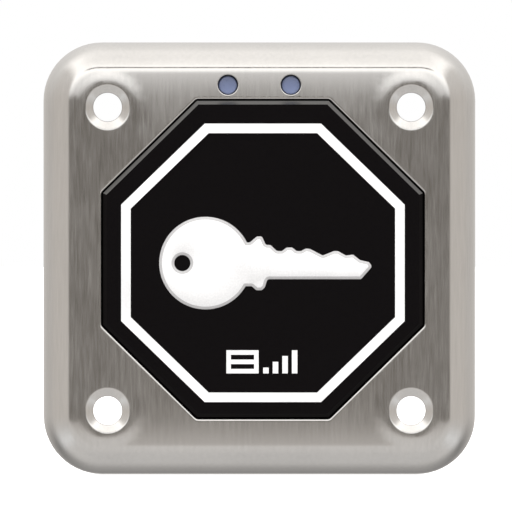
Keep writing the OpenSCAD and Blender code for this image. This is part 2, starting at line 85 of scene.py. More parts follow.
def new_piece(name, bm, material, body="reader", replaces=()):
    """Makes a smooth-shaded piece that rides on a body and stands for CAD nodes."""
    mesh = bpy.data.meshes.new(name)
    bmesh.ops.recalc_face_normals(bm, faces=bm.faces)
    bm.to_mesh(mesh)
    bm.free()
    for p in mesh.polygons:
        p.use_smooth = True
    piece = bpy.data.objects.new(name, mesh)
    bpy.context.scene.collection.objects.link(piece)
    mesh.materials.append(material)
    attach(piece, body)
    if replaces:
        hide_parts(*replaces)
    return piece


def circle(x, z, r, n=48):
    return [
        (x + r * math.cos(2 * math.pi * i / n), z + r * math.sin(2 * math.pi * i / n))
        for i in range(n)
    ]


def octagon(w, h):
    """An octagon w across and h high, with the corner cuts of a regular one."""
    f = math.tan(math.radians(22.5)) * (w + h) / 4
    w, h = w / 2, h / 2
    return [(f, h), (-f, h), (-w, f), (-w, -f), (-f, -h), (f, -h), (w, -f), (w, f)]


def moved(path, x, z):
    return [(a + x, b + z) for a, b in path]


def rounded(path, radius, steps=5, gap=None):
    """The closed path with each corner rounded, and its straight runs split to about gap."""
    out = []
    n = len(path)
    for i in range(n):
        a, b, c = (Vector(path[(i + k) % n]) for k in (-1, 0, 1))
        u, v = (a - b).normalized(), (c - b).normalized()
        half = u.angle(v) / 2
        reach = min(radius / math.tan(half), 0.45 * min((a - b).length, (c - b).length))
        r = reach * math.tan(half)
        mid = b + (u + v).normalized() * (r / math.sin(half)) if r > 1e-6 else b
        start, end = b + u * reach - mid, b + v * reach - mid
        turn = start.angle_signed(end) if r > 1e-6 else 0
        for k in range(steps + 1):
            t = -turn * k / steps
            out.append((
                mid.x + start.x * math.cos(t) - start.y * math.sin(t),
                mid.y + start.x * math.sin(t) + start.y * math.cos(t),
            ))
        if gap:
            nxt = Vector(path[(i + 1) % n])
            d = Vector(path[(i + 2) % n])
            w = (d - nxt).normalized()
            half2 = (b - nxt).normalized().angle(w) / 2
            reach2 = min(radius / math.tan(half2), 0.45 * min((b - nxt).length, (d - nxt).length))
            p, q = b + v * reach, nxt + (b - nxt).normalized() * reach2
            m = max(1, round((q - p).length / gap))
            out += [tuple(p.lerp(q, k / m)) for k in range(1, m)]
    return out


def drawn_in(path, by):
    """The closed path moved inwards by some distance, whichever way round it runs."""
    n = len(path)
    area = sum(
        path[i][0] * path[(i + 1) % n][1] - path[(i + 1) % n][0] * path[i][1] for i in range(n)
    )
    way = 1 if area > 0 else -1
    out = []
    for i in range(n):
        a, b, c = (Vector(path[(i + k) % n]) for k in (-1, 0, 1))
        u, v = (b - a).normalized(), (c - b).normalized()
        m = Vector((-(u.y + v.y), u.x + v.x)) * (way * by / (1 + u.dot(v)))
        out.append((b.x + m.x, b.y + m.y))
    return out


def inside(path, x, z):
    """Whether a point is inside a closed path."""
    hit = False
    for i in range(len(path)):
        (x0, z0), (x1, z1) = path[i - 1], path[i]
        if (z0 > z) != (z1 > z) and x < (x1 - x0) * (z - z0) / (z1 - z0) + x0:
            hit = not hit
    return hit


def cap(bm, rings, height, extra=()):
    """Fills between rings of vertices (the first is the outside) with triangles.

    rings hold (2-D points, their bmesh vertices). extra points are added inside, at height(x, z).
    """
    flat, verts, edges = [], [], []
    for points, made in rings:
        at = len(flat)
        flat += [Vector(p) for p in points]
        verts += made
        edges += [(at + i, at + (i + 1) % len(points)) for i in range(len(points))]
    flat += [Vector(p) for p in extra]
    got, _, tris, source, _, _ = geometry.delaunay_2d_cdt(flat, edges, [], 1, 1e-6)
    known = []
    for p, where in zip(got, source):
        where = [w for w in where if w < len(verts)]
        known.append(verts[where[0]] if where else bm.verts.new(place(p.x, p.y, height(p.x, p.y))))
    paths = [points for points, _ in rings]
    for t in tris:
        x = sum(got[k].x for k in t) / 3
        z = sum(got[k].y for k in t) / 3
        if inside(paths[0], x, z) and not any(inside(p, x, z) for p in paths[1:]):
            if len({known[k] for k in t}) == 3:
                bm.faces.new([known[k] for k in t])


def ring(bm, points, height):
    """Vertices along the points, at one height or at height(x, z)."""
    return [bm.verts.new(place(x, z, height(x, z) if callable(height) else height)) for x, z in points]


def join(bm, a, b):
    """Faces between two rings with the same number of vertices."""
    n = len(a)
    for i in range(n):
        bm.faces.new([a[i], a[(i + 1) % n], b[(i + 1) % n], b[i]])


# --------------------------------------------------------------- dimensions

# Everything here is in millimetres.
# The pressed plate is drawn as rings round a core square, then a face with its openings.
half, _, depth = extent("bezel")[1]
core = 31.4
outer_r = half - core
sheet = 2.0
back = depth - sheet
foot_r, foot_bevel = 0.25, 0.07

# The face rolls off by dip at the crease, over a longer run above and below than at the sides.
dip = 0.42
fade, side_fade = 6.0, 2.4

# The shoulder is an arc that meets the face in a crease, rolled over by roll to each side of it.
crease_r = 6.4
crease_angle = math.radians(28)
roll = 0.8
face_r = crease_r - roll
shoulder_r = (outer_r - crease_r) / (1 - math.sin(crease_angle))
shoulder_c = outer_r - shoulder_r
shoulder_h = depth - dip - shoulder_r * math.cos(crease_angle)
shoulder_arc = math.pi / 2 - crease_angle

# Fixing holes, each with a dished seat in a flatter pad of the face.
fixing = mounts["wall_fixing"]["dims"]
fix_at = fixing["spacing_x_mm"] / 2
fix_r = fixing["hole_r_mm"]
fixings = [(x * fix_at, z * fix_at) for x in (-1, 1) for z in (-1, 1)]
sink_r = 4.25
sink_rim = 0.22
seat_depth = 0.82
pad_r, pad_edge, pad_strength = 7.6, 2.4, 0.7

# Holes for the light pipes, and how much smaller and lower the lenses are.
pipes = [centre(n)[:2] for n in ("light_pipe_left", "light_pipe_right")]
pipe_hole_r = 2.0
pipe_rim = 0.12
lens_gap = 0.16
lens_drop = 0.10

# The insert's opening; its lip is broader along the lower edges.
ring_lo, ring_hi = extent("ring_inlay")
insert_x = (ring_lo[0] + ring_hi[0]) / 2
insert_w, insert_h = 63.5, 62.8
insert_gap = 0.2
lip = 0.45
lower_lip = 0.14

# The key symbol's round bow, its eye, and the width of its sloping border, painted grey as shade on the
# bevel.
bow = (-10.7, -0.8)
bow_r = 9.2
eye = (-15.3, -0.8)
eye_r = 1.6
border = 0.55


# ---------------------------------------------------------------- materials

class Shader:
    """A material with a Principled shader, and short calls for the nodes that feed it."""

    def __init__(self, name, colour, rough, metal=0.0):
        self.material = bpy.data.materials.new(name)
        self.material.use_nodes = True
        self.tree = self.material.node_tree
        self.out = self.tree.nodes["Principled BSDF"]
        self.out.inputs["Base Color"].default_value = (*colour, 1)
        self.out.inputs["Roughness"].default_value = rough
        self.out.inputs["Metallic"].default_value = metal
        self.where = self.tree.nodes.new("ShaderNodeTexCoord").outputs["Object"]
        self.normal = None

    def node(self, kind, **settings):
        """A new node, with settings for its sockets or its own options."""
        n = self.tree.nodes.new(kind)
        for key, value in settings.items():
            if key in n.inputs:
                n.inputs[key].default_value = value
            else:
                setattr(n, key, value)
        return n

    def link(self, a, b):
        self.tree.links.new(a, b)

    def noise(self, scale, stretch=(1, 1, 1), detail=3.0, rough=0.5):
        """Noise with about `scale` lumps in a metre, stretched along each axis."""
        mapping = self.node("ShaderNodeMapping")
        mapping.inputs["Scale"].default_value = [scale * s for s in stretch]
        self.link(self.where, mapping.inputs["Vector"])
        n = self.node("ShaderNodeTexNoise", Scale=1.0, Detail=detail, Roughness=rough)
        self.link(mapping.outputs["Vector"], n.inputs["Vector"])
        return n.outputs["Fac"]

    def spread(self, value, low, high, start=0.3, end=0.7):
        """Maps start to end of a value onto low to high."""
        m = self.node("ShaderNodeMapRange")
        for key, v in (("From Min", start), ("From Max", end), ("To Min", low), ("To Max", high)):
            m.inputs[key].default_value = v
        self.link(value, m.inputs["Value"])
        return m.outputs["Result"]

    def maths(self, op, a, b):
        """One sum of two sockets or numbers."""
        m = self.node("ShaderNodeMath", operation=op)
        for socket, v in zip(m.inputs, (a, b)):
            if hasattr(v, "links"):
                self.link(v, socket)
            else:
                socket.default_value = v
        return m.outputs[0]

    def axes(self):
        """The surface point's x, y and z, in metres."""
        apart = self.node("ShaderNodeSeparateXYZ")
        self.link(self.where, apart.inputs[0])
        return apart.outputs

    def tint(self, value, low, high, start=0.3, end=0.7):
        """Colours the surface between two colours by a value."""
        ramp = self.node("ShaderNodeValToRGB")
        e = ramp.color_ramp.elements
        e[0].position, e[0].color = start, (*low, 1)
        e[1].position, e[1].color = end, (*high, 1)
        self.link(value, ramp.inputs["Fac"])
        self.link(ramp.outputs["Color"], self.out.inputs["Base Color"])
        return self

    def roughen(self, value, low, high, start=0.3, end=0.7):
        """Varies the roughness by a value."""
        self.link(self.spread(value, low, high, start, end), self.out.inputs["Roughness"])
        return self

    def bump(self, value, depth, strength=1.0):
        """Raises the surface by a value, depth in millimetres."""
        b = self.node("ShaderNodeBump", Strength=strength, Distance=depth * 0.001)
        self.link(value, b.inputs["Height"])
        if self.normal is not None:
            self.link(self.normal, b.inputs["Normal"])
        self.normal = b.outputs["Normal"]
        self.link(self.normal, self.out.inputs["Normal"])
        return self


def shade(colour, k):
    """A colour made k times as bright."""
    return tuple(min(1.0, c * k) for c in colour)


def brushed_steel():
    """Stainless sheet with an upright brushed grain: short fine streaks over longer faint ones."""
    colour = (0.580, 0.565, 0.545)
    s = Shader("brushed_steel", colour, 0.26, 1.0)
    fine = s.noise(4600, (1, 1, 0.05), 2.0, 0.6)
    streak = s.noise(1500, (1, 1, 0.08), 3.0, 0.6)
    patch = s.noise(110, (1, 1, 0.5), 3.0)
    grain = s.maths("ADD", s.maths("MULTIPLY", streak, 0.5), s.maths("MULTIPLY", fine, 0.5))
    cloudy = s.maths("ADD", s.maths("MULTIPLY", grain, 0.7), s.maths("MULTIPLY", patch, 0.3))
    s.tint(cloudy, shade(colour, 0.96), shade(colour, 1.04), 0.38, 0.62)
    s.roughen(cloudy, 0.13, 0.20, 0.35, 0.65)
    s.bump(streak, 0.002)
    s.bump(fine, 0.001)
    return s.material


def plated_steel():
    colour = (0.62, 0.62, 0.63)
    s = Shader("plated_steel", colour, 0.25, 1.0)
    s.tint(s.noise(500, detail=4), shade(colour, 0.82), colour)
    s.roughen(s.noise(900), 0.2, 0.36)
    s.bump(s.noise(4000), 0.004)
    return s.material


def threaded_steel():
    """Plated studs, with their thread drawn as ridges round them."""
    colour = (0.60, 0.60, 0.61)
    s = Shader("threaded_steel", colour, 0.3, 1.0)
    wave = s.node("ShaderNodeTexWave", wave_type="BANDS", bands_direction="Y", Scale=318.0)
    s.link(s.where, wave.inputs["Vector"])
    s.bump(wave.outputs["Fac"], 0.25)
    s.roughen(s.noise(900), 0.22, 0.4)
    return s.material


def moulded(name, colour, rough=0.5, grain=5200, depth=0.008, specular=0.35):
    """Moulded plastic with a fine spark-eroded texture and faint uneven gloss."""
    s = Shader(name, colour, rough, 0.0)
    s.out.inputs["Specular IOR Level"].default_value = specular
    fine = s.noise(grain, detail=3.0, rough=0.6)
    broad = s.noise(70, detail=2.0)
    s.tint(s.maths("ADD", s.maths("MULTIPLY", fine, 0.4), s.maths("MULTIPLY", broad, 0.6)),
           shade(colour, 0.88), shade(colour, 1.1), 0.35, 0.65)
    s.roughen(s.maths("ADD", s.maths("MULTIPLY", fine, 0.5), s.maths("MULTIPLY", broad, 0.5)),
              rough - 0.06, rough + 0.08, 0.35, 0.65)
    s.bump(fine, depth)
    return s.material


def front_moulding():
    """Fine-grained black moulding. Its chamfers that face up switch to a glossier copy of the black, a
    painted highlight where the overhead light catches them.
    """
    s = Shader("black_moulding", (0.0032, 0.0025, 0.0028), 0.42)
    s.out.inputs["Specular IOR Level"].default_value = 0.045
    grain = s.noise(4200, detail=3.0, rough=0.6)
    s.tint(grain, (0.0026, 0.0020, 0.0023), (0.0038, 0.0030, 0.0033))
    s.roughen(grain, 0.36, 0.5, 0.35, 0.65)
    s.bump(grain, 0.006)
    # Painted highlight: a glossier copy of the black, mixed in only where a chamfer faces up and out.
    painted_highlight_gloss = s.node("ShaderNodeBsdfPrincipled")
    painted_highlight_gloss.inputs["Base Color"].default_value = (0.004, 0.004, 0.004, 1)
    painted_highlight_gloss.inputs["Roughness"].default_value = 0.30
    painted_highlight_gloss.inputs["Specular IOR Level"].default_value = 0.85
    painted_highlight_gloss.inputs["IOR"].default_value = 1.75
    facing = s.node("ShaderNodeSeparateXYZ")
    s.link(s.node("ShaderNodeNewGeometry").outputs["True Normal"], facing.inputs[0])
    up = s.spread(facing.outputs[2], 0.0, 1.0, 0.28, 0.32)
    out = s.spread(facing.outputs[1], 1.0, 0.0, -0.42, -0.38)
    tilted = s.spread(facing.outputs[1], 0.0, 1.0, -0.92, -0.88)
    mask = s.maths("MULTIPLY", s.maths("MULTIPLY", up, out), tilted)
    mix = s.node("ShaderNodeMixShader")
    s.link(mask, mix.inputs["Fac"])
    s.link(s.out.outputs[0], mix.inputs[1])
    s.link(painted_highlight_gloss.outputs[0], mix.inputs[2])
    s.link(mix.outputs[0], s.tree.nodes["Material Output"].inputs["Surface"])
    return s.material


def lens_plastic(middle):
    """Smoky blue light pipes, tinted duller towards the top, as if shaded by their holes."""
    colour = (0.165, 0.200, 0.335)
    s = Shader("lens_plastic", colour, 0.32)
    s.out.inputs["Transmission Weight"].default_value = 0.1
    s.out.inputs["Subsurface Weight"].default_value = 0.2
    s.out.inputs["Subsurface Radius"].default_value = (0.0012, 0.0014, 0.002)
    s.out.inputs["Subsurface Scale"].default_value = 1.0
    up = s.spread(s.axes()[2], 1.0, 0.0, (middle - 1.9) * 0.001, (middle + 2.0) * 0.001)
    cloud = s.noise(900, detail=2)
    mixed = s.maths("ADD", s.maths("MULTIPLY", up, 0.8), s.maths("MULTIPLY", cloud, 0.2))
    s.tint(mixed, shade(colour, 0.55), shade(colour, 1.25), 0.1, 0.85)
    s.roughen(s.noise(2500), 0.26, 0.4)
    s.bump(s.noise(3500), 0.004)
    return s.material


def rubber(name, colour):
    s = Shader(name, colour, 0.8)
    s.tint(s.noise(2500), shade(colour, 0.7), shade(colour, 1.3))
    s.bump(s.noise(3000, detail=5), 0.03)
    return s.material


def copper_winding():
    """Enamelled wire wound round the bobbin: fine rings of turns, with painted shade darkening the grooves
    between them.
    """
    colour = (0.50, 0.17, 0.06)
    s = Shader("copper_winding", colour, 0.3, 0.9)
    wave = s.node("ShaderNodeTexWave", wave_type="BANDS", bands_direction="Y", Scale=1600.0)
    s.link(s.where, wave.inputs["Vector"])
    s.bump(wave.outputs["Fac"], 0.08)
    # Painted shade: the colour darkens to half in the grooves between turns, following the bump.
    s.tint(wave.outputs["Fac"], shade(colour, 0.5), colour, 0.1, 0.7)
    return s.material


def board_laminate():
    """Green solder mask, with tracks showing through it."""
    colour = (0.012, 0.085, 0.030)
    s = Shader("board_laminate", colour, 0.3)
    brick = s.node("ShaderNodeTexBrick", Scale=260.0)
    brick.inputs["Mortar Size"].default_value = 0.06
    brick.inputs["Color1"].default_value = (0, 0, 0, 1)
    brick.inputs["Color2"].default_value = (0, 0, 0, 1)
    brick.inputs["Mortar"].default_value = (1, 1, 1, 1)
    turn = s.node("ShaderNodeMapping")
    turn.inputs["Rotation"].default_value = (math.radians(90), 0, 0)
    s.link(s.where, turn.inputs["Vector"])
    s.link(turn.outputs["Vector"], brick.inputs["Vector"])
    s.tint(brick.outputs["Color"], colour, shade(colour, 2.4), 0.1, 0.9)
    s.bump(brick.outputs["Color"], 0.03)
    s.out.inputs["Coat Weight"].default_value = 0.3
    s.out.inputs["Coat Roughness"].default_value = 0.15
    return s.material


def drawn_metal(name, colour, rough):
    s = Shader(name, colour, rough, 1.0)
    s.tint(s.noise(700), shade(colour, 0.85), colour)
    s.roughen(s.noise(1200), rough - 0.05, rough + 0.1)
    s.bump(s.noise(2500), 0.005)
    return s.material


steel = brushed_steel()
plated = plated_steel()
thread = threaded_steel()
black = front_moulding()
cover_black = moulded("cover_moulding", (0.013, 0.012, 0.013), 0.6, 1900, 0.035, 0.35)
white = moulded("white_graphic", (0.85, 0.85, 0.855), 0.45, 3000, 0.004, 0.4)
# The key's sloping edge: the white plastic painted mid-grey, as painted shade on its bevel.
key_bevel_shade = moulded("grey_graphic", (0.50, 0.495, 0.50), 0.45, 3000, 0.004, 0.4)
lens = lens_plastic(centre("light_pipe_left")[1])
gasket = rubber("gasket_rubber", (0.03, 0.03, 0.032))
ivory = moulded("ivory_nylon", (0.70, 0.67, 0.58), 0.45, 1800, 0.01)
copper = copper_winding()
laminate = board_laminate()
epoxy = moulded("black_epoxy", (0.020, 0.020, 0.021), 0.5, 2600, 0.02)
tinned = drawn_metal("tinned_metal", (0.70, 0.70, 0.68), 0.25)
can = drawn_metal("can_metal", (0.66, 0.66, 0.67), 0.3)
ceramic = moulded("capacitor_ceramic", (0.42, 0.30, 0.17), 0.4, 2500, 0.01)
green = moulded("terminal_nylon", (0.030, 0.200, 0.070), 0.42, 1800, 0.015)
brass = drawn_metal("gold_contact", (0.78, 0.57, 0.25), 0.2)
acetal = moulded("plunger_acetal", (0.68, 0.68, 0.66), 0.38, 2200, 0.008)
wire = drawn_metal("spring_wire", (0.50, 0.50, 0.51), 0.25)
film = moulded("label_film", (0.60, 0.60, 0.605), 0.35, 1200, 0.004)


# -------------------------------------------------------------------- plate

def round_core(r, arc=14, run=44):
    """A rounded square at a distance r from the core square, always with the same number of points."""
    out = []
    for quarter in range(4):
        a = math.radians(90 * quarter)
        ux, uz = math.cos(a), math.sin(a)
        cx, cz = core * (ux - uz), core * (uz + ux)
        for k in range(arc + 1):
            t = a + math.pi / 2 * k / arc
            out.append((cx + r * math.cos(t), cz + r * math.sin(t)))
        for k in range(1, run):
            s = 2 * core * k / run
            out.append((cx - r * uz - s * ux, cz + r * ux - s * uz))
    return out


def to_core(x, z):
    """Distance outside the core square, or minus the distance inside it."""
    dx, dz = abs(x) - core, abs(z) - core
    if dx > 0 and dz > 0:
        return math.hypot(dx, dz)
    return max(dx, dz)


def face_height(x, z):
    """The face rolls off towards the crease, and less so in a pad round each fixing."""
    edge = max(0.0, crease_r - to_core(x, z))
    upper = min(1.0, max(0.0, (abs(z) - abs(x)) / 8 + 0.5))
    drop = dip * math.exp(-edge / (side_fade + (fade - side_fade) * upper))
    for fx, fz in fixings:
        t = min(1.0, max(0.0, (pad_r - math.hypot(x - fx, z - fz)) / pad_edge))
        drop *= 1 - pad_strength * (0.3 + 0.7 * upper) * t * t * (3 - 2 * t)
    return depth - drop


def side_section():
    """(distance from the core, height) up the plate's side and over its shoulder."""
    section = [(outer_r - foot_r, 0.0), (outer_r - foot_bevel, foot_bevel), (outer_r, foot_r)]
    section += [(outer_r, shoulder_h * k / 3) for k in (1, 2, 3)]
    steps = 18
    for k in range(1, steps + 1):
        t = shoulder_arc * k / steps
        section.append((shoulder_c + shoulder_r * math.cos(t), shoulder_h + shoulder_r * math.sin(t)))
    return [(r, h) for r, h in section if r > crease_r + roll]


def roll_over(bm):
    """Rings from the shoulder into the face, along a short curve that is tangent to both."""
    first_r, width = crease_r + roll, 2 * roll
    tip = math.asin(min(1.0, (first_r - shoulder_c) / shoulder_r))
    first_h, first_slope = shoulder_h + shoulder_r * math.cos(tip), -math.tan(tip)
    near, steps = 0.2, 10
    ends = [face_height(x, z) for x, z in round_core(face_r)]
    slopes = [(h - face_height(x, z)) / near for h, (x, z) in zip(ends, round_core(face_r - near))]
    rings = []
    for k in range(steps + 1):
        t = k / steps
        a, b, c, d = 2 * t**3 - 3 * t**2 + 1, t**3 - 2 * t**2 + t, 3 * t**2 - 2 * t**3, t**3 - t**2
        rings.append([
            bm.verts.new(place(x, z, a * first_h - b * width * first_slope + c * h - d * width * slope))
            for (x, z), h, slope in zip(round_core(first_r - width * t), ends, slopes)
        ])
    return rings


def sunk(bm, path, down):
    """The path and its ring of vertices, some distance below the face."""
    return path, ring(bm, path, lambda x, z: face_height(x, z) - down)


def walls(bm, rows):
    """Joins an opening's rows from the face to the back, and gives the first and the last."""
    for a, b in zip(rows, rows[1:]):
        join(bm, b[1], a[1])
    return rows[0], rows[-1]


def insert_opening(bm):
    """The insert's opening: a rounded lip, then the sheet's edge."""
    edge = octagon(insert_w + 2 * insert_gap, insert_h + 2 * insert_gap)
    edge = rounded(moved(edge, insert_x, 0), 0.8, 4, 0.9)
    rows = []
    steps = 5
    for k in range(steps + 1):
        t = math.pi / 2 * k / steps
        out, down = lip * (1 - math.sin(t)), lip * (1 - math.cos(t))
        path = drawn_in(edge, -out) if out > 1e-6 else edge
        path = [(x, z - lower_lip * out / lip * min(1.0, max(0.0, -z / 20))) for x, z in path]
        rows.append(sunk(bm, path, down))
    rows.append((edge, ring(bm, edge, back)))
    return walls(bm, rows)


def fixing_hole(bm, x, z):
    """A shallow dished seat with a soft rim, then the hole."""
    n = 56
    rim = ((sink_rim, 0.0), (0.09, 0.03), (-0.02, 0.11))
    rows = [sunk(bm, circle(x, z, sink_r + out, n), down) for out, down in rim]
    seat = face_height(x, z) - seat_depth
    for out, h in ((0.12, seat), (0.03, seat - 0.06), (0.0, seat - 0.15), (0.0, back)):
        path = circle(x, z, fix_r + out, n)
        rows.append((path, ring(bm, path, h)))
    return walls(bm, rows)


def pipe_hole(bm, x, z):
    """A plain hole with a finely rounded edge."""
    rim = ((pipe_rim, 0.0), (0.06, 0.02), (0.02, 0.06), (0.0, 0.12))
    rows = [sunk(bm, circle(x, z, pipe_hole_r + out), down) for out, down in rim]
    path = circle(x, z, pipe_hole_r)
    rows.append((path, ring(bm, path, back)))
    return walls(bm, rows)


def face_points(lip_path):
    """Points that carry the face's gentle curvature between its edges and openings.

    The rings next to a round opening have as many points as its rim, so that the rim stays clean.
    """
    points = []
    for x, z in fixings:
        points += [p for g in (0.25, 0.7, 1.4, 2.3, 3.4) for p in circle(x, z, sink_r + sink_rim + g, 56)]
    for x, z in pipes:
        points += [p for g in (0.06, 0.5) for p in circle(x, z, pipe_hole_r + pipe_rim + g)]
    points += drawn_in(lip_path, -0.25)
    for step in (0.4, 0.9, 1.6, 2.5, 3.6, 4.8):
        points += round_core(face_r - step)
    pitch = 1.3
    count = int(core / pitch) + 2
    for i in range(-count, count + 1):
        for j in range(-count, count + 1):
            x, z = (i + 0.5 * (j % 2)) * pitch, j * pitch * 0.866
            if to_core(x, z) < face_r - 5.6:
                points.append((x, z))
    holes = [(x, z, sink_r + 0.3) for x, z in fixings]
    holes += [(x, z, pipe_hole_r + 0.15) for x, z in pipes]
    wide, inner = drawn_in(lip_path, -0.12), round_core(face_r - 0.1)
    return [
        p for p in points
        if not inside(wide, *p) and inside(inner, *p)
        and all(math.hypot(p[0] - x, p[1] - z) > r for x, z, r in holes)
    ]


def tray(bm, foot, openings):
    """Inside of the plate, a sheet's thickness in, from its foot to the back of its face."""
    inner_r = shoulder_r - sheet
    section = [(outer_r - sheet, 0.0), (outer_r - sheet, shoulder_h)]
    steps = 10
    for k in range(1, steps + 1):
        t = shoulder_arc * k / steps
        section.append((shoulder_c + inner_r * math.cos(t), min(back, shoulder_h + inner_r * math.sin(t))))
    section.append((section[-1][0] - 0.5, back))
    rings = [ring(bm, round_core(r), h) for r, h in section]
    for a, b in zip(rings, rings[1:]):
        join(bm, b, a)
    join(bm, rings[0], foot)
    cap(bm, [(round_core(section[-1][0]), rings[-1])] + openings, lambda x, z: back)


def plate():
    """The pressed steel plate, from its side over the shoulder to the face, and back inside."""
    bm = bmesh.new()
    rings = [ring(bm, round_core(r), h) for r, h in side_section()]
    rings += roll_over(bm)
    for a, b in zip(rings, rings[1:]):
        join(bm, a, b)
    openings = [insert_opening(bm)]
    openings += [fixing_hole(bm, x, z) for x, z in fixings]
    openings += [pipe_hole(bm, x, z) for x, z in pipes]
    edges = [(round_core(face_r), rings[-1])] + [front for front, _ in openings]
    lip_path = openings[0][0][0]
    cap(bm, edges, face_height, face_points(lip_path))
    tray(bm, rings[0], [rear for _, rear in openings])
    new_piece("plate", bm, steel, replaces=("bezel",))


plate()


# ------------------------------------------------------------ key and lenses

relief = 0.15
insert_face = extent("key_border")[1][2] - relief
key_top = extent("key_inlay")[1][2]


def key_path():
    """The key's outline: its round bow, then its toothed blade from the lower root."""
    blade = [
        (-1.5, -5.4), (-0.6, -6.2), (0.5, -6.2), (1.1, -5.6), (1.6, -4.0), (20.2, -4.0), (22.4, -1.5),
        (21.8, -0.6), (20.0, -0.2), (18.6, 0.9), (17.2, 0.7), (15.6, 1.6), (14.8, 1.6), (12.6, 0.7),
        (10.1, 2.0), (9.2, 2.1), (8.3, 1.6), (7.4, 1.6), (6.5, 2.3), (5.4, 2.3), (4.5, 1.6), (3.5, 1.6),
        (2.2, 2.8), (1.3, 2.8), (0.5, 4.5), (-0.5, 4.5), (-1.9, 3.3),
    ]
    top, bottom = 3.3, -5.4
    start = math.asin((top - bow[1]) / bow_r)
    end = 2 * math.pi - math.asin((bow[1] - bottom) / bow_r)
    n = 84
    round_bow = [
        (bow[0] + bow_r * math.cos(start + (end - start) * k / n),
         bow[1] + bow_r * math.sin(start + (end - start) * k / n))
        for k in range(n + 1)
    ]
    soft = rounded([(-6.0, bottom)] + blade + [(-6.0, top)], 0.55, 4)
    return round_bow + [p for p in soft if math.hypot(p[0] - bow[0], p[1] - bow[1]) > bow_r + 0.02]


def key():
    """The key symbol: an edge that slopes up to a white middle, with the eye through both; the edge is the
    white plastic painted grey, as painted shade on its bevel.
    """
    path = key_path()
    base = insert_face - 0.05

    def outline(inset):
        return drawn_in(path, inset) if inset else path

    def eye_path(inset):
        return circle(*eye, eye_r + inset, 40)

    def sides(bm, rows):
        """Walls round the outline and the eye through rows of (inset, height), and their last rings."""
        outer = [ring(bm, outline(inset), h) for inset, h in rows]
        for a, b in zip(outer, outer[1:]):
            join(bm, a, b)
        hole = [ring(bm, eye_path(inset), h) for inset, h in rows]
        for a, b in zip(hole, hole[1:]):
            join(bm, b, a)
        return outer[-1], hole[-1]

    bm = bmesh.new()
    sides(bm, [(0.0, base), (0.0, insert_face + 0.06), (0.05, insert_face + 0.11), (border, key_top - 0.02)])
    # The sloping edge takes the painted-shade grey, the key's white darkened as if in shade.
    new_piece("key_edge", bm, key_bevel_shade, replaces=("key_border",))
    bm = bmesh.new()
    inset = border + 0.03
    outer, hole = sides(bm, [(border, base), (border, key_top - 0.03), (inset, key_top)])
    cap(bm, [(outline(inset), outer), (eye_path(inset), hole)], lambda x, z: key_top)
    new_piece("key_face", bm, white, replaces=("key_inlay",))


key()


def light_pipe(node):
    """A stepped lens: its face is a little domed and has a soft rim."""
    x, z, _ = centre(node)
    lo, hi = extent(node)
    shoulder_top = hi[2] - 2.3
    bm = bmesh.new()
    r = pipe_hole_r - lens_gap
    z -= lens_drop
    profile = [(2.5, lo[2]), (2.5, shoulder_top - 0.08), (2.42, shoulder_top), (r, shoulder_top)]
    profile += [(r, hi[2] - 0.35), (r - 0.04, hi[2] - 0.22), (r - 0.16, hi[2] - 0.12)]
    profile += [(r * k, hi[2] - 0.10 * k * k) for k in (0.8, 0.6, 0.4, 0.2)]
    rings = [ring(bm, circle(x, z, a, 48), h) for a, h in profile]
    for a, b in zip(rings, rings[1:]):
        join(bm, a, b)
    bm.faces.new(rings[-1])
    bm.faces.new(list(reversed(rings[0])))
    new_piece(node.replace("light_pipe", "lens"), bm, lens, replaces=(node,))


light_pipe("light_pipe_left")
light_pipe("light_pipe_right")


# ------------------------------------------------------------ tamper spring

def spring():
    """A closed-end coil spring, as long as the tamper spring it replaces."""
    x, z, _ = centre("tamper_spring")
    lo, hi = extent("tamper_spring")
    wire_r, coil_r = 0.14, 2.0
    active, flat = 3, 0.6
    turns, steps, sides = active + 2 * flat, 30, 10
    low, high = lo[2] + wire_r, hi[2] - wire_r
    bm = bmesh.new()
    total = int(turns * steps)
    rings = []
    for i in range(total + 1):
        t = i / total
        lift = min(1.0, max(0.0, (t * turns - flat) / active))
        a = 2 * math.pi * turns * t
        h = low + (high - low) * lift
        rings.append([
            bm.verts.new(place(
                x + (coil_r + wire_r * math.cos(b)) * math.cos(a),
                z + (coil_r + wire_r * math.cos(b)) * math.sin(a),
                h + wire_r * math.sin(b)))
            for b in (2 * math.pi * k / sides for k in range(sides))
        ])
    for a, b in zip(rings, rings[1:]):
        join(bm, a, b)
    bm.faces.new(rings[0])
    bm.faces.new(list(reversed(rings[-1])))
    piece = new_piece(
        "coil_spring", bm, wire, body="reader", replaces=("tamper_spring",))
    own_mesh(piece)


spring()


# --------------------------------------------------- finishes of the CAD parts

finishes = {
    thread: ["weld_studs"],
    plated: ["stud_washers", "stud_nuts", "board_screws", "cover_screws", "terminal_screws",
             "terminal_clamps"],
    gasket: ["bezel_gasket", "cover_seal"],
    black: ["reader_front"],
    white: ["ring_inlay", "card_mark_inlay"],
    ivory: ["coil_bobbin", "led_left", "led_right"],
    copper: ["antenna_coil", "coil_leads"],
    laminate: ["circuit_board"],
    epoxy: ["controller_chip", "reader_chip", "voltage_regulator", "surge_diodes", "sounder",
            "tamper_switch", "chip_resistors"],
    tinned: ["chip_leads", "terminal_pins"],
    can: ["crystal", "reservoir_capacitors"],
    ceramic: ["chip_capacitors"],
    green: ["terminal_block"],
    brass: ["tamper_contact"],
    acetal: ["tamper_plunger"],
    cover_black: ["rear_cover"],
    film: ["rating_label"],
}
for material, names in finishes.items():
    for name in names:
        nodes[name].material_slots[0].material = material


# ---------------------------------------------------- floor, light and camera

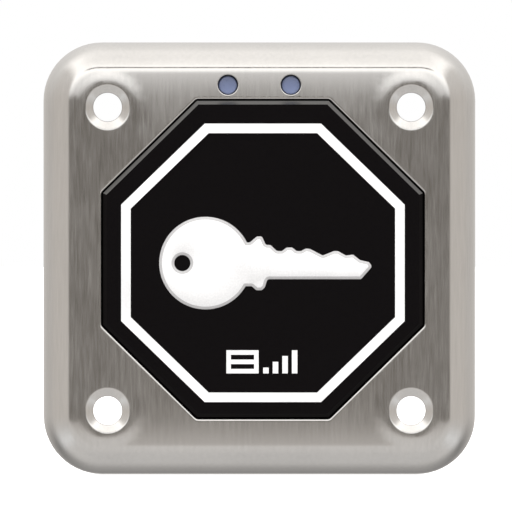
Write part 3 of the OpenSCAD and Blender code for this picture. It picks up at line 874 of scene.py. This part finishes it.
def stage():
    """A plain pale floor just under the plate's lower edge, which the object doesn't mirror."""
    bm = bmesh.new()
    bmesh.ops.create_grid(bm, x_segments=2, y_segments=2, size=2.5)
    mesh = bpy.data.meshes.new("floor")
    bm.to_mesh(mesh)
    bm.free()
    floor = bpy.data.objects.new("floor", mesh)
    floor.location = (0, 0, -half * 0.001 - 0.0002)
    bpy.context.scene.collection.objects.link(floor)
    s = Shader("floor", (0.8, 0.8, 0.8), 0.9)
    s.out.inputs["Specular IOR Level"].default_value = 0.1
    s.out.inputs["Emission Color"].default_value = (1, 1, 1, 1)
    s.out.inputs["Emission Strength"].default_value = 0.75
    s.tint(s.noise(8), (0.79, 0.79, 0.79), (0.81, 0.81, 0.81))
    mesh.materials.append(s.material)
    floor.visible_glossy = False
    floor.visible_diffuse = False


# The studio's light by direction: (upward part of the direction, brightness, warmth), from straight
# down to straight up. The object mirrors it; the camera itself sees plain white.
AHEAD = [
    (-1.00, 0.80, 0.98), (-0.83, 0.86, 0.97), (-0.50, 0.88, 0.97), (-0.26, 0.86, 0.96),
    (-0.16, 0.78, 0.93), (-0.10, 0.54, 0.90), (-0.06, 0.20, 0.80), (0.02, 0.16, 0.80),
    (0.05, 0.34, 0.88), (0.085, 0.92, 0.99), (0.13, 1.12, 0.99), (0.20, 1.35, 1.00),
    (0.34, 1.70, 0.99), (0.52, 2.00, 0.97), (0.62, 2.00, 0.97), (0.65, 0.10, 0.97),
    (0.72, 0.10, 0.97), (0.75, 1.90, 0.97), (0.86, 1.80, 0.97), (1.00, 1.45, 0.97),
]
ASIDE = [
    (-1.00, 0.80, 0.95), (-0.55, 1.05, 1.02), (-0.25, 0.82, 0.95), (0.00, 0.78, 0.90),
    (0.50, 0.90, 0.94), (1.00, 1.10, 0.95),
]
BEHIND = [
    (-1.00, 0.60, 0.97), (-0.50, 0.34, 0.97), (0.00, 0.75, 0.93), (0.50, 1.00, 0.97),
    (1.00, 1.35, 0.97),
]
SEAM = (0.63, 0.74)


def world():
    """A soft studio: dim straight ahead of the plate and bright overhead, with one dark seam there."""
    w = bpy.data.worlds.new("studio")
    bpy.context.scene.world = w
    w.use_nodes = True
    tree = w.node_tree
    tree.nodes.clear()

    def node(kind, **settings):
        n = tree.nodes.new(kind)
        for key, value in settings.items():
            setattr(n, key, value)
        return n

    def step(value, start, end, low=0.0, high=1.0, kind="SMOOTHSTEP"):
        m = node("ShaderNodeMapRange", interpolation_type=kind)
        for key, v in (("From Min", start), ("From Max", end), ("To Min", low), ("To Max", high)):
            m.inputs[key].default_value = v
        tree.links.new(value, m.inputs["Value"])
        return m.outputs["Result"]

    def ramp(value, stops):
        r = node("ShaderNodeValToRGB")
        e = r.color_ramp.elements
        while len(e) < len(stops):
            e.new(0.5)
        for element, (at, level, warm) in zip(e, stops):
            element.position = (at + 1) / 2
            element.color = (level / 2, level / 2 * (1 + warm) / 2, level / 2 * warm, 1)
        tree.links.new(value, r.inputs["Fac"])
        return r.outputs["Color"]

    def blend(fac, a, b):
        m = node("ShaderNodeMix", data_type="RGBA")
        tree.links.new(fac, m.inputs[0])
        tree.links.new(a, m.inputs[6])
        tree.links.new(b, m.inputs[7])
        return m.outputs[2]

    coords = node("ShaderNodeTexCoord")
    apart = node("ShaderNodeSeparateXYZ")
    tree.links.new(coords.outputs["Generated"], apart.inputs[0])
    x, y, z = apart.outputs
    across = node("ShaderNodeMath", operation="ABSOLUTE")
    tree.links.new(x, across.inputs[0])
    height = step(z, -1, 1, kind="LINEAR")
    plain = [stop for stop in AHEAD if not SEAM[0] < stop[0] < SEAM[1]]
    colour = blend(step(across.outputs[0], 0.25, 0.42), ramp(height, AHEAD), ramp(height, plain))
    colour = blend(step(across.outputs[0], 0.58, 0.78), colour, ramp(height, ASIDE))
    colour = blend(step(y, 0.05, 0.55), colour, ramp(height, BEHIND))
    light = node("ShaderNodeBackground")
    light.inputs["Strength"].default_value = 2.0
    tree.links.new(colour, light.inputs["Color"])
    seen = node("ShaderNodeBackground")
    seen.inputs["Color"].default_value = (1, 1, 1, 1)
    path = node("ShaderNodeLightPath")
    mix = node("ShaderNodeMixShader")
    tree.links.new(path.outputs["Is Camera Ray"], mix.inputs["Fac"])
    tree.links.new(light.outputs[0], mix.inputs[1])
    tree.links.new(seen.outputs[0], mix.inputs[2])
    out = node("ShaderNodeOutputWorld")
    tree.links.new(mix.outputs[0], out.inputs["Surface"])


def fill():
    """A broad soft light from the upper front, which the steel doesn't mirror."""
    data = bpy.data.lights.new("fill", "SUN")
    data.energy = 1.1
    data.angle = math.radians(60)
    lamp = bpy.data.objects.new("fill", data)
    lamp.rotation_euler = Vector((0, 1, -1)).to_track_quat("-Z", "Y").to_euler()
    lamp.visible_glossy = False
    bpy.context.scene.collection.objects.link(lamp)


def camera():
    """A long lens straight in front, a touch above the plate's middle."""
    data = bpy.data.cameras.new("camera")
    data.lens = 1000
    data.sensor_width = 36
    cam = bpy.data.objects.new("camera", data)
    bpy.context.scene.collection.objects.link(cam)
    elevation = math.radians(0.9)
    away = Vector((0, -math.cos(elevation), math.sin(elevation)))
    view_width = 0.1020
    target = Vector((-0.00067, -0.0074, 0.00046))
    cam.location = target + away * (view_width * data.lens / data.sensor_width)
    cam.rotation_euler = (-away).to_track_quat("-Z", "Y").to_euler()
    data.clip_end = 20
    bpy.context.scene.camera = cam


stage()
world()
fill()
camera()
view = bpy.context.scene.view_settings
view.view_transform = "Standard"
view.look = "None"
